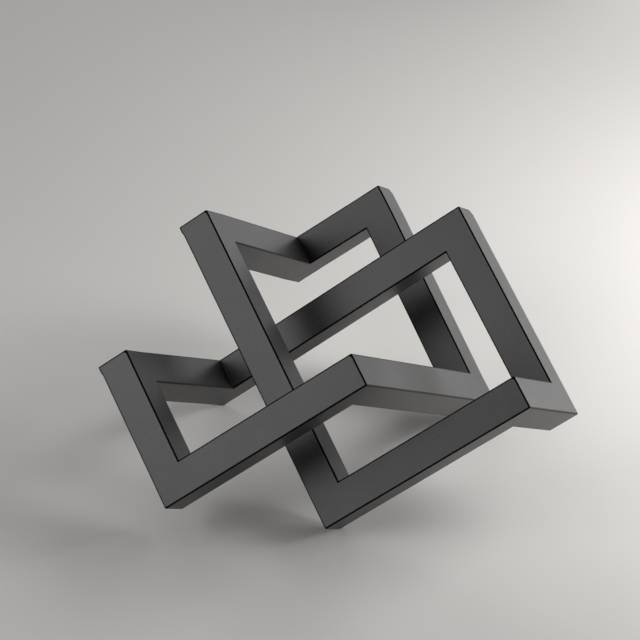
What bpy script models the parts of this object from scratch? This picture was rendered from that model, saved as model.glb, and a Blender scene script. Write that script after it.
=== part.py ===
"""Abstract metal sculpture: a closed trefoil knot of square steel tube.

Twelve straight tubes run square to one another, meet in mitred corners and close into a knot.
The knot is laid out square first, as on a welding jig, with x to the right, y to the back and
z up. It is then tipped onto three of its corners, which are ground flat where they stand.
"""

import bpy
import bmesh
from math import radians, sqrt
from mathutils import Matrix, Vector

# Tube and finish, in metres

TUBE_WIDTH = 0.020        # outside width of the square tube
EDGE_RADIUS = 0.0006      # rounding of the tube's edges and of the dressed seams
EDGE_STEPS = 2            # facets across a rounded edge
FOOT_GRIND = 0.0015       # depth ground off each corner that it stands on

# Spacing of the tubes' centre lines in the layout, from each level to the next, in metres

LEFT_SPACING = 0.0600
MIDDLE_SPACING = 0.0600
RIGHT_SPACING = 0.0600
FRONT_SPACING = 0.0525
CENTRE_SPACING = 0.0615
BACK_SPACING = 0.0660
LOWER_SPACING = 0.0450
WAIST_SPACING = 0.0730
UPPER_SPACING = 0.0620

# Powder coat

COAT_COLOUR = (0.060, 0.058, 0.056, 1.0)
COAT_ROUGHNESS = 0.6

# The corners in order, each as its level to the right, to the back and upwards

ROUTE = (
    (1, 1, 3), (1, 1, 0), (3, 1, 0), (3, 2, 0),
    (3, 2, 2), (0, 2, 2), (0, 0, 2), (0, 0, 1),
    (2, 0, 1), (2, 3, 1), (2, 3, 3), (1, 3, 3),
)

# The three corners that the knot stands on, by their place in the route. Each touches down
# with the left, back, bottom point of its mitre.

FRONT_FOOT = 1
LEFT_FOOT = 5
RIGHT_FOOT = 9
FOOT_SIDE = Vector((-1, 1, -1))

FLAT_ANGLE = radians(1)   # faces that meet at less than this are one plane
EDGE_ANGLE = radians(30)  # edges sharper than this are rounded


def clear_scene():
    for item in list(bpy.data.objects):
        bpy.data.objects.remove(item, do_unlink=True)


def new_collection(name):
    collection = bpy.data.collections.new(name)
    bpy.context.scene.collection.children.link(collection)
    return collection


def levels(first, second, third):
    """Four levels of centre lines, from the spacings between them."""
    return (0.0, first, first + second, first + second + third)


def corner_points():
    """The knot's corners on the tubes' centre lines, in the square layout."""
    across = levels(LEFT_SPACING, MIDDLE_SPACING, RIGHT_SPACING)
    depth = levels(FRONT_SPACING, CENTRE_SPACING, BACK_SPACING)
    height = levels(LOWER_SPACING, WAIST_SPACING, UPPER_SPACING)
    return [Vector((across[i], depth[j], height[k])) for i, j, k in ROUTE]


def to_mitre(point, corner, along, onward):
    """Slide a point along its tube to the plane where the tube meets the next one."""
    normal = along + onward
    return point + along * ((corner - point).dot(normal) / along.dot(normal))


def knot_mesh():
    """Sweep the tube's square section from corner to corner and close it on its start."""
    corners = corner_points()
    count = len(corners)
    runs = [(corners[(i + 1) % count] - corners[i]).normalized() for i in range(count)]
    start = (
        Matrix.Translation((corners[0] + corners[1]) / 2)
        @ runs[0].to_track_quat("Z", "Y").to_matrix().to_4x4()
        @ Matrix.Rotation(radians(45), 4, "Z")
    )

    bm = bmesh.new()
    bmesh.ops.create_circle(bm, segments=4, radius=TUBE_WIDTH / sqrt(2), matrix=start)
    first_ring = bm.edges[:]
    ring = first_ring
    for i in range(1, count + 1):
        swept = bmesh.ops.extrude_edge_only(bm, edges=ring)["geom"]
        ring = [item for item in swept if isinstance(item, bmesh.types.BMEdge)]
        for vert in {vert for edge in ring for vert in edge.verts}:
            vert.co = to_mitre(vert.co, corners[i % count], runs[i - 1], runs[i % count])
    bmesh.ops.bridge_loops(bm, edges=ring + first_ring)
    bmesh.ops.recalc_face_normals(bm, faces=bm.faces)
    bmesh.ops.dissolve_limit(
        bm, angle_limit=FLAT_ANGLE, use_dissolve_boundaries=False, verts=bm.verts, edges=bm.edges
    )

    mesh = bpy.data.meshes.new("knot")
    bm.to_mesh(mesh)
    bm.free()
    return mesh


def powder_coat():
    material = bpy.data.materials.new("powder_coated_steel")
    material.use_nodes = True
    shader = material.node_tree.nodes["Principled BSDF"]
    shader.inputs["Base Color"].default_value = COAT_COLOUR
    shader.inputs["Roughness"].default_value = COAT_ROUGHNESS
    shader.inputs["Metallic"].default_value = 0.0
    return material


def standing_turn():
    """The turn that lays the plane of the three feet level, with the back feet along X."""
    corners = corner_points()
    front, left, right = (corners[i] for i in (FRONT_FOOT, LEFT_FOOT, RIGHT_FOOT))
    sideways = (right - left).normalized()
    upwards = sideways.cross(left - front).normalized()
    backwards = upwards.cross(sideways)
    return Matrix((sideways, backwards, upwards)).to_4x4()


def stand_up(knot):
    """Tip the knot onto its feet, with its outline centred on the origin."""
    turn = standing_turn()
    knot.matrix_world = turn
    bpy.context.view_layer.update()
    rounded = knot.evaluated_get(bpy.context.evaluated_depsgraph_get())
    outline = [turn @ vert.co for vert in rounded.data.vertices]
    middle = [(min(p[i] for p in outline) + max(p[i] for p in outline)) / 2 for i in (0, 1)]
    foot = turn @ (corner_points()[FRONT_FOOT] + FOOT_SIDE * TUBE_WIDTH / 2)
    knot.matrix_world = Matrix.Translation((-middle[0], -middle[1], -foot.z - FOOT_GRIND)) @ turn


def add_grinder(collection, reach):
    """A slab with its top at the table, wider than the knot, that cuts the feet flat."""
    bpy.ops.mesh.primitive_cube_add(size=1, location=(0, 0, -TUBE_WIDTH / 2))
    grinder = bpy.context.object
    grinder.name = "grinder"
    grinder.scale = (reach, reach, TUBE_WIDTH)
    grinder.hide_render = True
    grinder.display_type = "WIRE"
    for owner in list(grinder.users_collection):
        owner.objects.unlink(grinder)
    collection.objects.link(grinder)
    return grinder


def build():
    clear_scene()
    parts = new_collection("abstract_metal_sculpture")
    cutters = new_collection("cutters")

    knot = bpy.data.objects.new("knot", knot_mesh())
    knot.data.materials.append(powder_coat())
    parts.objects.link(knot)

    rounding = knot.modifiers.new("rounded_edges", "BEVEL")
    rounding.width = EDGE_RADIUS
    rounding.segments = EDGE_STEPS
    rounding.limit_method = "ANGLE"
    rounding.angle_limit = EDGE_ANGLE
    stand_up(knot)

    grinding = knot.modifiers.new("ground_feet", "BOOLEAN")
    grinding.operation = "DIFFERENCE"
    grinding.solver = "EXACT"
    grinding.object = add_grinder(cutters, 2 * max(knot.dimensions))


build()
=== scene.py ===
# %% [markdown]
# # A table-top sculpture of square steel tube
#
# The real object is twelve lengths of 20 mm square steel tube. They are cut at 45 degrees, welded
# end to end into a closed trefoil knot, ground smooth and powder coated dark grey. Each tube runs
# square to the next, so the knot can be built on three sets of levels, like a staircase that
# comes back to its own first step. At the end it is tipped onto three of its corners.
#
# A plainer CAD model of the same knot is loaded first. It gives the box that this finer knot has
# to stay inside, because a part must not grow when it is dressed.

# %% Load the frame and keep the box of the CAD model
import bmesh
import bpy
from math import cos, radians, sin
from mathutils import Matrix, Quaternion, Vector


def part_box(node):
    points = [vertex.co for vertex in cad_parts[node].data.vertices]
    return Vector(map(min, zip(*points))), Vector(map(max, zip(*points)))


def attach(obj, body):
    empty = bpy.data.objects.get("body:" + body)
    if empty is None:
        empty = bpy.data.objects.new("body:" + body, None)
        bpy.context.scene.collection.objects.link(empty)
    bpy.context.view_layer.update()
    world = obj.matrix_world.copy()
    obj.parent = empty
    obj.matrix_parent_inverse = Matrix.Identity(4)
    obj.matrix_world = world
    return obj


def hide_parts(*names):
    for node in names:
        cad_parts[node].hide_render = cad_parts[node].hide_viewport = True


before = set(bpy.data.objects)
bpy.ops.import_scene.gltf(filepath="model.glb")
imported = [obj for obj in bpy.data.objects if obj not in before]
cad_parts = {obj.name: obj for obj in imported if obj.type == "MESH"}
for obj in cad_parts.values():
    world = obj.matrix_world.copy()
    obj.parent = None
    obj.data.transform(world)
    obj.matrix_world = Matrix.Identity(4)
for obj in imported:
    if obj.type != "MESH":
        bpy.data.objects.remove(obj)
scene = bpy.context.scene
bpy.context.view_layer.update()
knot_low, knot_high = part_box("knot")

# %% [markdown]
# ## The camera
#
# The photograph was taken from in front and well above, with a long lens: lines that run away
# from the camera stay almost parallel. A camera on a tripod is described best by where it aims,
# how far round and how far up it stands, and how much it is tilted, so these are the values here.
# The lens is long and the camera is 1.4 m away, as for a small product on a table.

# %% Helpers that stand a camera or a lamp round the aim
AIM = Vector((-0.0133, 0.0020, 0.0764))   # the point in the middle of the picture

def out_from_aim(turn, rise, distance):
    """The place at that distance from the aim, turned round to the right and raised."""
    level = Vector((sin(turn), -cos(turn), 0.0))
    return AIM + distance * (cos(rise) * level + Vector((0.0, 0.0, sin(rise))))

def facing_aim(place, roll=0.0):
    """The rotation of a camera or lamp at place that looks at the aim."""
    look = (AIM - place).to_track_quat("-Z", "Y")
    return (look @ Quaternion((0.0, 0.0, 1.0), roll)).to_euler()

# %% Place the camera
CAMERA_ROUND = radians(-0.03)   # stands this far to the right of straight in front
CAMERA_UP = radians(30.21)      # stands this far above the aim
CAMERA_DISTANCE = 1.3948
CAMERA_ROLL = radians(2.83)     # its right side is held this much too high
LENS = 132.15                   # mm, on a sensor 36 mm wide

bpy.ops.object.select_all(action="DESELECT")
camera_place = out_from_aim(CAMERA_ROUND, CAMERA_UP, CAMERA_DISTANCE)
bpy.ops.object.camera_add(location=camera_place, rotation=facing_aim(camera_place, CAMERA_ROLL))
camera = bpy.context.object
camera.name = "camera"
camera.data.lens = LENS
scene.camera = camera
print("camera stands at", [round(value, 3) for value in camera_place])

# %% [markdown]
# ## Laying the knot out square
#
# Before a welder builds a knot like this, the tubes are laid out on a grid. Every centre line lies
# on one of four levels to the right, four to the back and four upwards. The corners are then
# written as level numbers, and from each corner to the next only one number changes.

# %% Sizes of the tube and of the layout
TUBE_WIDTH = 0.020
RIGHT_LEVELS = (0.0, 0.0600, 0.1200, 0.1800)
BACK_LEVELS = (0.0, 0.0525, 0.1140, 0.1800)
UP_LEVELS = (0.0, 0.0450, 0.1180, 0.1800)
ROUTE = (
    (1, 1, 3), (1, 1, 0), (3, 1, 0), (3, 2, 0),
    (3, 2, 2), (0, 2, 2), (0, 0, 2), (0, 0, 1),
    (2, 0, 1), (2, 3, 1), (2, 3, 3), (1, 3, 3),
)

def runs_between(points):
    """The way from each corner to the next one, and from the last corner to the first."""
    return [points[(n + 1) % len(points)] - point for n, point in enumerate(points)]

square = [Vector((RIGHT_LEVELS[i], BACK_LEVELS[j], UP_LEVELS[k])) for i, j, k in ROUTE]
alongs = [run.normalized() for run in runs_between(square)]
print("corners:", len(square))

# %% [markdown]
# ## Out of square, as welded by hand
#
# Weld seams pull as they cool, so a real knot is never quite square. In the photograph the back
# loop is a little wide at its top, the highest corner is pushed back and up, and two corners at
# the left sit a little high and a little low. No shift is over 2 mm and no tube leans by over
# 1.2 degrees. The corners are moved before the tube is made, so the tube stays 20 mm wide.

# %% Shift seven corners
SHIFTS = {
    # place in the route: metres to the right, to the back and up
    0: Vector((0.0005, 0.0003, 0.0007)),
    4: Vector((-0.0005, 0.0014, 0.0013)),
    5: Vector((0.0012, 0.0005, -0.0004)),
    6: Vector((-0.0001, -0.0001, -0.0012)),
    9: Vector((-0.0009, -0.0004, 0.0005)),
    10: Vector((0.0017, 0.0, -0.0004)),
    11: Vector((-0.0019, -0.0002, 0.0)),
}
corners = [corner + SHIFTS.get(n, Vector()) for n, corner in enumerate(square)]
onwards = runs_between(corners)
print("tube in all, in mm:", round(1000 * sum(run.length for run in onwards)))

# %% [markdown]
# ## Extruding the tube round the knot
#
# A sweep along a curve would pinch at the square corners, and twelve separate boxes would leave
# walls inside. The knot therefore starts as one cube, the block of the first corner. Its side
# is extruded to the next corner block, then through that block, and so on round the route. The
# twelfth run is bridged from the last block to the first, which closes the knot.

# %% Helpers that select faces, edges and vertices
TINY = 0.00002          # places nearer to each other than this are the same place

def select_where(thing, wanted):
    """Selects only those faces, edges or verts of the mesh in edit mode that are wanted."""
    mesh = bmesh.from_edit_mesh(bpy.context.object.data)
    for part in (mesh.faces, mesh.edges, mesh.verts):
        for item in part:
            item.select = False
    chosen = [item for item in getattr(mesh, thing) if wanted(item)]
    for item in chosen:
        item.select_set(True)
    bmesh.update_edit_mesh(bpy.context.object.data)
    return len(chosen)

def side_of_block(corner, side):
    """Says whether a face is the side of a corner block that faces that way."""
    middle = corner + side * TUBE_WIDTH / 2
    return lambda face: (face.calc_center_median() - middle).length < TINY

# %% Extrude eleven runs and bridge the twelfth
bpy.ops.object.select_all(action="DESELECT")
bpy.ops.mesh.primitive_cube_add(size=TUBE_WIDTH, location=corners[0])
knot = bpy.context.object
knot.name = "knot_coated"
bpy.ops.object.transform_apply(location=True, rotation=True, scale=True)
bpy.ops.object.mode_set(mode="EDIT")
bpy.ops.mesh.select_mode(type="FACE")
for corner, onward, along in list(zip(corners, onwards, alongs))[:-1]:
    select_where("faces", side_of_block(corner, along))
    block = along * TUBE_WIDTH
    for step in (onward - block, block):
        bpy.ops.mesh.extrude_region_move(TRANSFORM_OT_translate={"value": step})
last_side = side_of_block(corners[-1], alongs[-1])
first_side = side_of_block(corners[0], -alongs[-1])
select_where("faces", lambda face: last_side(face) or first_side(face))
bpy.ops.mesh.bridge_edge_loops()
print("faces of the plain knot:", len(bmesh.from_edit_mesh(knot.data).faces))

# %% [markdown]
# ## Cutting the faces small
#
# A long bare face can't take a filed corner or a lip, and the rim of a painted edge needs a small
# face to fade over. The edges that run along the tubes are cut first, the longest before the
# shorter ones, and then those that run across, so every face becomes a grid of small squares.

# %% Subdivide into small squares
CELL = 0.002
LENGTH_DIGITS = 5       # lengths are told apart to 0.01 mm

edges = bmesh.from_edit_mesh(knot.data).edges
lengths = {round(edge.calc_length(), LENGTH_DIGITS) for edge in edges}
bpy.ops.mesh.select_mode(type="EDGE")
for length in sorted(lengths, reverse=True):
    select_where("edges", lambda edge: abs(edge.calc_length() - length) < TINY)
    bpy.ops.mesh.subdivide(number_cuts=round(length / CELL) - 1)
bpy.ops.mesh.select_all(action="SELECT")
bpy.ops.mesh.remove_doubles(threshold=TINY)
bpy.ops.mesh.normals_make_consistent(inside=False)
print("faces after cutting:", len(bmesh.from_edit_mesh(knot.data).faces))

# %% [markdown]
# ## Filing off two points and leaving two lips
#
# The two points that stick up highest at the right are filed off at the back, so that nobody gets
# scratched. A plane cuts each point off and the hole is filled. At the two ends at the left, the
# side of the tube stands a hair proud above the seam, because the next tube was set a little
# out. Moving the vertices at the top of that side gives this step.

# %% File two points
FILED_CORNERS = (4, 10)
FILED_SIDE = Vector((1, 1, 1))    # right, back and up
FILED = 0.0030                    # how far along each edge a point is filed off
FILE_REACH = 3 * FILED            # takes in every face that the cut can meet
ON_CUT = 1e-7                     # a vertex nearer to a cut than this counts as on it

for number in FILED_CORNERS:
    point = corners[number] + FILED_SIDE * TUBE_WIDTH / 2
    select_where("faces", lambda face: (face.calc_center_median() - point).length < FILE_REACH)
    bpy.ops.mesh.bisect(
        plane_co=point - Vector((FILED, 0, 0)), plane_no=FILED_SIDE,
        use_fill=True, clear_outer=True, threshold=ON_CUT,
    )
print("faces after filing:", len(bmesh.from_edit_mesh(knot.data).faces))

# %% Raise two lips
LIP_CORNERS = (0, 6)
LIP_SIDE = Vector((-1, 0, 1))     # left and up
LIP_HEIGHT = 0.0045
LIP_STEP = 0.00045

bpy.ops.mesh.select_mode(type="VERT")
for number in LIP_CORNERS:
    top_left = corners[number] + LIP_SIDE * TUBE_WIDTH / 2
    raised = select_where("verts", lambda vert: (
        abs(vert.co.x - top_left.x) < TINY
        and abs(vert.co.y - top_left.y) < TUBE_WIDTH / 2 + TINY
        and vert.co.z > top_left.z - LIP_HEIGHT
    ))
    bpy.ops.transform.translate(value=(-LIP_STEP, 0, 0))
    print("verts in the lip:", raised)

# %% [markdown]
# ## Rounding the edges
#
# Square tube has small round edges from the mill, and the welded seams are ground to match. A
# Bevel modifier that works by angle rounds just these edges, and it also leaves a small fillet in
# the inner corners, as a weld does.

# %% Round the edges
EDGE_RADIUS = 0.00065
EDGE_STEPS = 3
SHARP = radians(30)     # edges that turn by more than this are rounded

bpy.ops.object.mode_set(mode="OBJECT")
bpy.ops.object.modifier_add(type="BEVEL")
rounding = knot.modifiers[-1]
rounding.width = EDGE_RADIUS
rounding.segments = EDGE_STEPS
rounding.limit_method = "ANGLE"
rounding.angle_limit = SHARP
bpy.ops.object.modifier_apply(modifier=rounding.name)
print("faces with round edges:", len(knot.data.polygons))

# %% [markdown]
# ## Marking the edges for painted shade
#
# A fine dark line of painted shade runs along the sharp edges, where the rounded strips would
# otherwise catch light. The faces of the rounded strips are marked in an attribute that the
# material reads. The lines are strong round the front and back faces and fainter along the edges
# that run from front to back. The fillets in the inner corners get no line. Two more attributes,
# on the vertices, fade over the next small square. They give the lines a rim on the flat faces, so
# that a line also shows where the far side of its edge is out of sight.

# %% Mark the rounded edges
FLAT = 0.98             # a normal with a part above this belongs to a flat side of the tube
ACROSS = 0.1            # one with less than this to the front belongs to a front-to-back edge
STRONG = 1.0
FAINT = 0.5

mesh = bmesh.new()
mesh.from_mesh(knot.data)
edge_mark = mesh.faces.layers.float.new("edge")
for face in mesh.faces:
    middle = face.calc_center_median()
    around = [near.calc_center_median() for edge in face.edges for near in edge.link_faces]
    outer = sum((place - middle).dot(face.normal) for place in around) < 0
    tilted = max(abs(part) for part in face.normal) < FLAT
    narrow = face.calc_area() < CELL * EDGE_RADIUS
    line = FAINT if abs(face.normal.y) < ACROSS else STRONG
    face[edge_mark] = line if tilted and outer and narrow else 0.0
for name, line in (("strong_rim", STRONG), ("faint_rim", FAINT)):
    rim_mark = mesh.verts.layers.float.new(name)
    for vert in mesh.verts:
        vert[rim_mark] = 1.0 if any(face[edge_mark] == line for face in vert.link_faces) else 0.0
marked = sum(face[edge_mark] > 0.0 for face in mesh.faces)
mesh.to_mesh(knot.data)
mesh.free()
print("faces on the rounded edges:", marked)

# %% [markdown]
# ## Tipping it onto its feet
#
# The finished sculpture stands on three corners, each on its left, back, bottom point. A line
# from the left foot to the right foot gives its sideways direction, and the front foot settles
# which way is up. The three points are ground flat, so the knot is cut off where it would reach
# below the table. The place and turn go into the mesh, so that the finish stays put on it.

# %% Turn it and set it down
FRONT_FOOT = 1
LEFT_FOOT = 5
RIGHT_FOOT = 9
FOOT_SIDE = Vector((-1, 1, -1))
FOOT_GRIND = 0.0015
SLACK = 0.00005         # keeps the far corners just inside the box of the CAD model

front, left, right = square[FRONT_FOOT], square[LEFT_FOOT], square[RIGHT_FOOT]
sideways = (right - left).normalized()
upwards = sideways.cross(left - front).normalized()
backwards = upwards.cross(sideways)
turn = Matrix((sideways, backwards, upwards)).to_4x4()
turned = [turn @ vert.co for vert in knot.data.vertices]
place = Vector((0.0, 0.0, -FOOT_GRIND - (turn @ (front + FOOT_SIDE * TUBE_WIDTH / 2)).z))
place.x = knot_high[0] - SLACK - max(point.x for point in turned)
place.y = knot_low[1] + SLACK - min(point.y for point in turned)
knot.matrix_world = Matrix.Translation(place) @ turn
bpy.ops.object.transform_apply(location=True, rotation=True, scale=True)
print("knot moved by", [round(1000 * value, 2) for value in place], "mm")

# %% Grind the feet flat and smooth the shading
SMOOTH_BELOW = radians(12)  # faces that meet at less than this shade as one

bpy.ops.object.mode_set(mode="EDIT")
bpy.ops.mesh.select_all(action="SELECT")
bpy.ops.mesh.bisect(
    plane_co=(0, 0, 0), plane_no=(0, 0, 1), use_fill=True, clear_inner=True, threshold=ON_CUT,
)
bpy.ops.object.mode_set(mode="OBJECT")
bpy.ops.object.shade_smooth_by_angle(angle=SMOOTH_BELOW)
print("faces of the finished knot:", len(knot.data.polygons))

# %% [markdown]
# ## The finish: matt powder coat on steel
#
# Powder coat is a baked polyester skin about 0.1 mm thick. It hides the steel, so it isn't
# metallic. Matt grades scatter light softly, with a broad weak gloss and a very fine grain, and
# the skin has a faint orange peel and lies a little thicker in some patches. Along the edges a
# fine dark line of painted shade with no gloss at all is laid on. So there are two shaders, and
# the marks on the mesh say where the second takes over.

# %% Helpers for materials
def colour(code):
    """An sRGB hex code as linear RGBA."""
    parts = [int(code[n:n + 2], 16) / 255 for n in (0, 2, 4)]
    return [p / 12.92 if p <= 0.04045 else ((p + 0.055) / 1.055) ** 2.4 for p in parts] + [1.0]

def add_node(tree, kind, inputs=None, **settings):
    """Adds a node. inputs holds values, or sockets to link, by the name or number of the input."""
    node = tree.nodes.new(kind)
    for name, value in settings.items():
        setattr(node, name, value)
    for name, value in (inputs or {}).items():
        if isinstance(value, bpy.types.NodeSocket):
            tree.links.new(value, node.inputs[name])
        else:
            node.inputs[name].default_value = value
    return node

def new_material(name):
    """A material with only its output node, and that output."""
    material = bpy.data.materials.new(name)
    material.use_nodes = True
    material.node_tree.nodes.clear()
    output = material.node_tree.nodes.new("ShaderNodeOutputMaterial")
    return material, material.node_tree, output

# %% Speckle and patches of the coat
COAT = "343435"
GRAIN = 0.0012          # real grain is about 0.3 mm, drawn coarser so that it shows
CLOUD = 0.018           # patches where the powder lies a little thicker
SPECKLE_CONTRAST = 0.16
CLOUD_CONTRAST = 0.14
NOISE_LOW = 0.3         # nearly all of a noise pattern lies between these two
NOISE_HIGH = 0.7

coat, tree, output = new_material("powder-coated steel")
where = add_node(tree, "ShaderNodeTexCoord").outputs["Object"]
grain = add_node(tree, "ShaderNodeTexNoise", {"Vector": where, "Scale": 1 / GRAIN, "Detail": 2.0})
cloud = add_node(tree, "ShaderNodeTexNoise", {"Vector": where, "Scale": 1 / CLOUD, "Detail": 3.0})
speckle = add_node(tree, "ShaderNodeMapRange", {
    "Value": grain.outputs[0], "From Min": NOISE_LOW, "From Max": NOISE_HIGH,
    "To Min": 1 - SPECKLE_CONTRAST, "To Max": 1 + SPECKLE_CONTRAST,
})
patches = add_node(tree, "ShaderNodeMapRange", {
    "Value": cloud.outputs[0], "From Min": NOISE_LOW, "From Max": NOISE_HIGH,
    "To Min": 1 - CLOUD_CONTRAST, "To Max": 1 + CLOUD_CONTRAST,
})
uneven = add_node(tree, "ShaderNodeMath", {
    0: speckle.outputs[0], 1: patches.outputs[0],
}, operation="MULTIPLY")
tone = add_node(tree, "ShaderNodeVectorMath", {
    0: colour(COAT)[:3], "Scale": uneven.outputs[0],
}, operation="SCALE")
print("coat colour, linear:", [round(part, 4) for part in colour(COAT)[:3]])

# %% Powder coat and painted edge shade
COAT_IOR = 1.5
COAT_ROUGHNESS = 0.38
GRAIN_DEPTH = 0.00004
ORANGE_PEEL = 0.005
PEEL_DEPTH = 0.00005
# painted shade: the near-black, matt colour of the dark lines along the edges
EDGE_SHADE = "0C0C0C"
EDGE_SHADE_ROUGHNESS = 1.0

peel = add_node(tree, "ShaderNodeTexNoise", {
    "Vector": where, "Scale": 1 / ORANGE_PEEL, "Detail": 1.0,
})
fine = add_node(tree, "ShaderNodeBump", {
    "Height": grain.outputs[0], "Distance": GRAIN_DEPTH, "Strength": 1.0,
})
broad = add_node(tree, "ShaderNodeBump", {
    "Height": peel.outputs[0], "Distance": PEEL_DEPTH, "Strength": 1.0,
    "Normal": fine.outputs[0],
})
skin = add_node(tree, "ShaderNodeBsdfPrincipled", {
    "Base Color": tone.outputs[0], "Roughness": COAT_ROUGHNESS, "IOR": COAT_IOR,
    "Normal": broad.outputs[0],
})
# a matt shader that paints the dark edge lines as shade
painted_edge_shade = add_node(tree, "ShaderNodeBsdfPrincipled", {
    "Base Color": colour(EDGE_SHADE), "Roughness": EDGE_SHADE_ROUGHNESS, "Specular IOR Level": 0.0,
})
print("primer colour, linear:", [round(part, 4) for part in colour(EDGE_SHADE)[:3]])

# %% Lay painted shade along the marked edges
RIM_ENDS = 0.82         # the rim is 0.2 mm wide, a sixth of a small square
RIM_FULL = 0.90

line = add_node(tree, "ShaderNodeAttribute", attribute_name="edge").outputs["Fac"]
for name, depth in (("strong_rim", STRONG), ("faint_rim", FAINT)):
    rim = add_node(tree, "ShaderNodeAttribute", attribute_name=name)
    band = add_node(tree, "ShaderNodeMapRange", {
        "Value": rim.outputs["Fac"], "From Min": RIM_ENDS, "From Max": RIM_FULL, "To Max": depth,
    })
    line = add_node(tree, "ShaderNodeMath", {
        0: line, 1: band.outputs[0],
    }, operation="MAXIMUM").outputs[0]
# the painted edge shade takes the place of the coat where the edge marks are set
surface = add_node(tree, "ShaderNodeMixShader", {
    0: line, 1: skin.outputs[0], 2: painted_edge_shade.outputs[0],
})
tree.links.new(surface.outputs[0], output.inputs["Surface"])
knot.data.materials.append(coat)
print("nodes in the powder coat:", len(tree.nodes))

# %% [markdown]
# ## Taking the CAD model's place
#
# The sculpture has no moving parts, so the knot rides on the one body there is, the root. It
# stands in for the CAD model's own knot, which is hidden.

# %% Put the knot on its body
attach(knot, "root")
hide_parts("knot")

# %% [markdown]
# ## A plain pale floor
#
# A wide plane of matt off-white paint stands in for the table. It is far wider than the picture,
# so no edge of it shows, and it throws a little light back up onto the undersides.

# %% Floor
FLOOR = "E9E6E3"
FLOOR_ROUGHNESS = 0.9
FLOOR_GLOSS = 0.2
FLOOR_SIZE = 8.0

floor_paint, tree, output = new_material("matt floor paint")
surface = add_node(tree, "ShaderNodeBsdfPrincipled", {
    "Base Color": colour(FLOOR), "Roughness": FLOOR_ROUGHNESS, "Specular IOR Level": FLOOR_GLOSS,
})
tree.links.new(surface.outputs[0], output.inputs["Surface"])
bpy.ops.object.select_all(action="DESELECT")
bpy.ops.mesh.primitive_plane_add(size=FLOOR_SIZE, location=(0, 0, 0))
floor = bpy.context.object
floor.name = "floor"
floor.data.materials.append(floor_paint)
print("floor is", FLOOR_SIZE, "m wide")

# %% [markdown]
# ## Four softboxes round the table
#
# Square tube only reads as square if its faces differ in tone. The key light stands low at the
# right and lights the right-hand faces most. A weaker fill stands low in front, to the left, for
# the faces towards the camera. Both are close, so the light falls off along the tubes, and low,
# so the inner corners that look into another tube stay dark. Two weak lights behind lift the
# floor and draw the far sides, and a faint glow from all round keeps the darkest places open.

# %% Set up the softboxes
SOFTBOXES = {
    # name: degrees round, degrees up, distance in metres, size in metres, power in watts
    "key_softbox": (105, 22, 0.7, 0.5, 5.9),
    "fill_softbox": (300, 24, 0.9, 0.6, 3.3),
    "back_softbox_right": (150, 9, 0.8, 0.4, 0.5),
    "back_softbox_left": (200, 30, 1.2, 0.6, 2.1),
}

for name, (turn_round, rise, distance, size, power) in SOFTBOXES.items():
    spot = out_from_aim(radians(turn_round), radians(rise), distance)
    bpy.ops.object.light_add(type="AREA", location=spot, rotation=facing_aim(spot))
    lamp = bpy.context.object
    lamp.name = name
    lamp.data.shape = "SQUARE"
    lamp.data.size = size
    lamp.data.energy = power
    lamp.visible_camera = False
    print(name, "of", power, "W at", [round(value, 2) for value in spot])

# %% Add a faint glow from all round
STUDIO_GLOW = 0.015

scene.world = bpy.data.worlds.new("studio")
scene.world.use_nodes = True
glow = scene.world.node_tree.nodes["Background"]
glow.inputs["Color"].default_value = colour("FFFFFF")
glow.inputs["Strength"].default_value = STUDIO_GLOW
scene.view_settings.view_transform = "Standard"
